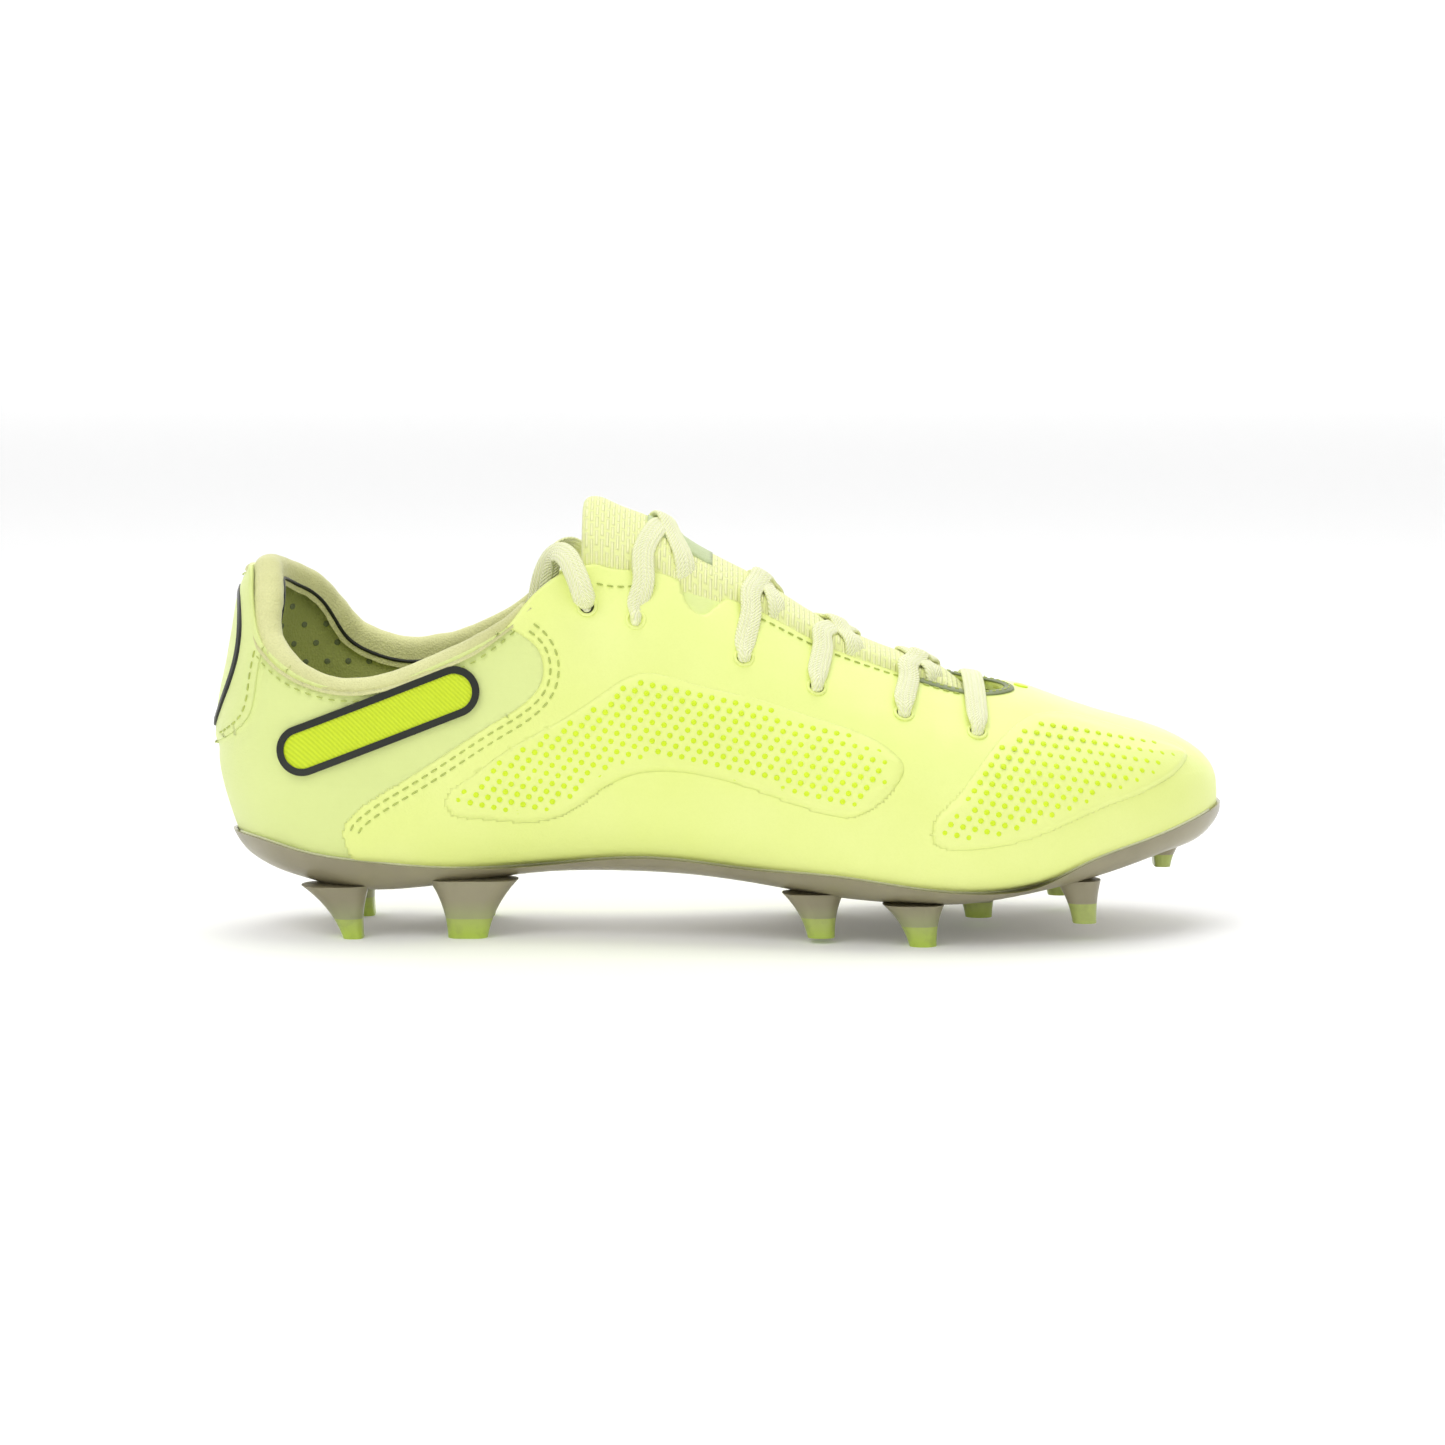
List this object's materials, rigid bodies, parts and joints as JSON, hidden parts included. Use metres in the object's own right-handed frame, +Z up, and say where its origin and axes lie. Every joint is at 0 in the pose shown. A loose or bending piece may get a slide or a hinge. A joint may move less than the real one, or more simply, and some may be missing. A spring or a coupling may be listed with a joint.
{
  "type": "soccer cleat",
  "caption": "Right low-cut football boot with a padded knit tongue, tied lace ends tucked inside and a wrap-round moulded sole plate with tapered studs for firm ground.",
  "frame": {"origin": "on the ground plane under the middle of the boot's length and width", "axes": "+X from heel to toe, +Y to the medial (inner) side of this right boot, +Z up"},
  "size_m": [0.2845, 0.0975, 0.1222],
  "materials": {
    "vamp_leather": "soft synthetic leather, satin, fine grain",
    "heel_textile": "coated textile, satin",
    "quarter_textile": "ribbed coated textile, matt",
    "collar_knit": "soft knit band, matt",
    "board": "stitched non-woven board, matt",
    "stiffener": "thin moulded sheet, matt",
    "foam": "open-cell foam, matt",
    "sockliner": "foam sockliner with a textile top, matt",
    "lining_textile": "smooth lining textile, matt",
    "badge_lime": "ribbed raised textile, satin",
    "black_trim": "raised moulded trim, satin",
    "plate_clear": "translucent moulded plastic, glossy",
    "stud_lime": "translucent moulded plastic, glossy",
    "tongue_knit": "padded engineered knit, matt",
    "lace_textile": "flat woven lace, matt",
    "aglet_plastic": "clear shrink sleeve, glossy"
  },
  "bodies": {
    "root": {"vamp_shell": "vamp_leather", "heel_back_panel": "heel_textile", "quarter_panel_lateral": "quarter_textile", "quarter_panel_medial": "quarter_textile", "collar_binding": "collar_knit", "insole_board": "board", "toe_puff": "stiffener", "heel_counter": "stiffener", "collar_foam": "foam", "eyestay_lateral": "stiffener", "eyestay_medial": "stiffener", "midfoot_pod_lateral": "foam", "midfoot_pod_medial": "foam", "forefoot_pod_lateral": "foam", "forefoot_pod_medial": "foam", "vamp_backing": "foam", "sockliner": "sockliner", "heel_lining": "lining_textile", "vamp_lining": "lining_textile", "badge_fill_lateral": "badge_lime", "badge_fill_medial": "badge_lime", "badge_border_lateral": "black_trim", "badge_border_medial": "black_trim", "heel_piping": "black_trim", "outsole_plate": "plate_clear", "lace": "lace_textile", "lace_end_lateral": "lace_textile", "lace_end_medial": "lace_textile", "aglet_lateral": "aglet_plastic", "aglet_medial": "aglet_plastic", "stud_tip_heel_lateral_rear": "stud_lime", "stud_tip_heel_lateral_front": "stud_lime", "stud_tip_heel_medial_rear": "stud_lime", "stud_tip_heel_medial_front": "stud_lime", "stud_tip_fore_lateral_rear": "stud_lime", "stud_tip_fore_lateral_ball": "stud_lime", "stud_tip_fore_lateral_front": "stud_lime", "stud_tip_fore_medial_rear": "stud_lime", "stud_tip_fore_medial_ball": "stud_lime", "stud_tip_fore_medial_front": "stud_lime", "stud_tip_fore_centre": "stud_lime", "stud_tip_toe": "stud_lime"},
    "tongue": {"tongue": "tongue_knit"}
  },
  "joints": [
    {"name": "tongue_hinge", "type": "hinge", "parent": "root", "child": "tongue", "pos_m": [0.0735, 0, 0.061], "axis": [0, -1, 0], "range_deg": [0, 8], "stiffness_Nm_per_rad": 0.6}
  ]
}
